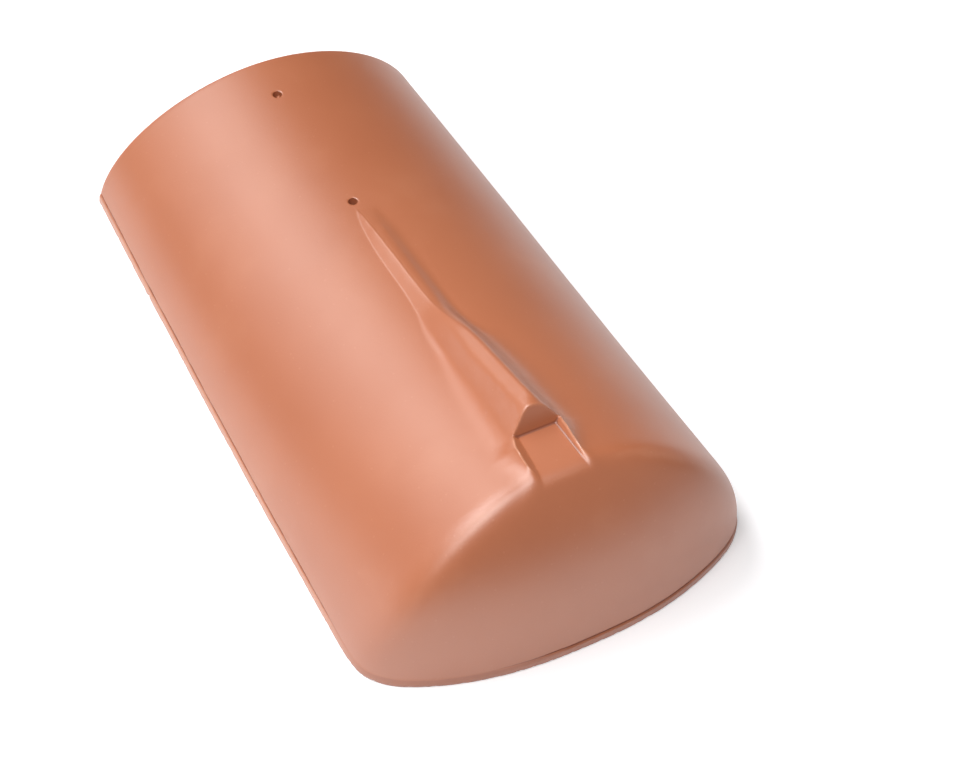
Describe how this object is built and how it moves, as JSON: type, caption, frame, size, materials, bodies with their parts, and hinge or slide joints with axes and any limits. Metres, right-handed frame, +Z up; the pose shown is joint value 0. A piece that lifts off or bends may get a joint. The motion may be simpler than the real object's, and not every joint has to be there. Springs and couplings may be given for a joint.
{
  "type": "ridge tile",
  "caption": "Closed-end clay ridge tile: a tapering half barrel with a closed end, two nail holes and a raised wedge with a flat clip seat on its crown.",
  "frame": {"origin": "middle of the underside, on the plane of the two long rims", "axes": "+Y along the ridge towards the open end, +Z up, +X to the right seen from the closed end"},
  "size_m": [0.2308, 0.4, 0.1191],
  "materials": {
    "fired_clay": "satin unglazed terracotta"
  },
  "bodies": {
    "root": {"ridge_tile": "fired_clay"}
  },
  "joints": []
}
